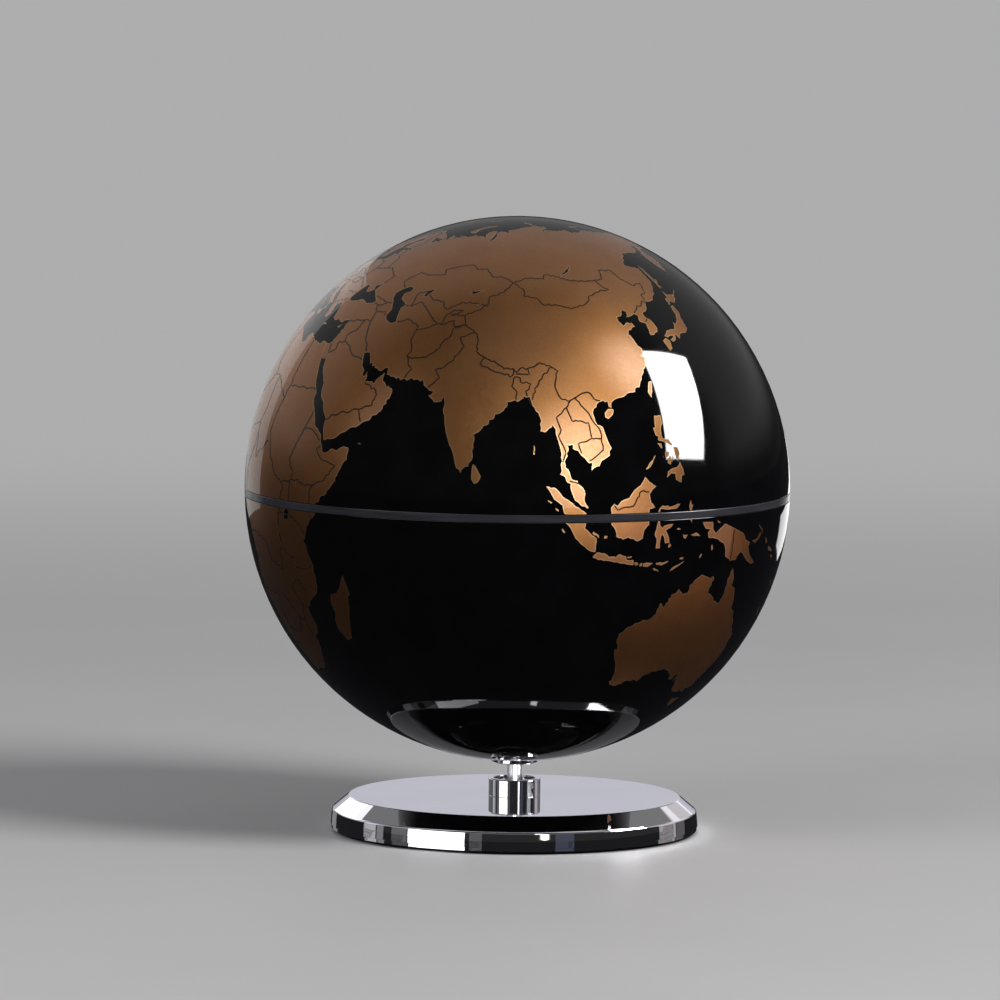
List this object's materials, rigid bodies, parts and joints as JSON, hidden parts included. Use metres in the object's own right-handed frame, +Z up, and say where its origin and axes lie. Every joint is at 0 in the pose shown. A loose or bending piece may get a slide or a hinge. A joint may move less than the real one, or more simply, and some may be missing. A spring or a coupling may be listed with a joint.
{
  "type": "desktop globe",
  "caption": "Desktop globe: an acrylic ball with a metallic world map that spins on a short upright pin over a round bevelled chrome base.",
  "frame": {"origin": "middle of the foot pad's underside, on the table", "axes": "+Z up along the ball's polar axis; -Y is the front, where the meridian of 89 degrees east faces at rest; +X to the right"},
  "size_m": [0.2, 0.2, 0.2264],
  "materials": {
    "acrylic": "polished, printed black and metallic copper behind the wall",
    "ring_acrylic": "polished, smoke grey",
    "copper_print": "metallic copper ink under clear acrylic",
    "chrome": "mirror polished",
    "steel": "zinc plated or ground",
    "brass": "stamped brass",
    "bronze": "sintered bronze",
    "iron": "as cast",
    "foam": "closed-cell foam, matt"
  },
  "bodies": {
    "stand": {"base_cover": "chrome", "ballast_weight": "iron", "bottom_plate": "chrome", "plate_screws": "steel", "foot_pad": "foam", "bearing_collar": "chrome", "collar_washer": "steel", "collar_nut": "steel", "bearing_outer_ring": "steel", "bearing_shields": "steel", "lower_bush": "bronze"},
    "globe": {"upper_shell": "acrylic", "lower_shell": "acrylic", "seam_ring": "ring_acrylic", "pole_flange": "chrome", "backing_plate": "steel", "lock_washer": "steel", "stud_nut": "steel", "spindle": "chrome", "spindle_spacer": "chrome", "bearing_inner_ring": "steel", "thrust_washer": "steel", "retaining_clip": "steel"},
    "ball_set": {"bearing_balls": "steel", "bearing_cage": "brass"}
  },
  "joints": [
    {"name": "globe_spin", "type": "hinge", "parent": "stand", "child": "globe", "pos_m": [0, 0, 0.0152], "axis": [0, 0, 1], "continuous": true},
    {"name": "ball_set_spin", "type": "hinge", "parent": "stand", "child": "ball_set", "pos_m": [0, 0, 0.0152], "axis": [0, 0, 1], "continuous": true}
  ],
  "couplings": [
    {"joint": "ball_set_spin", "follows": "globe_spin", "ratio": 0.3733}
  ]
}
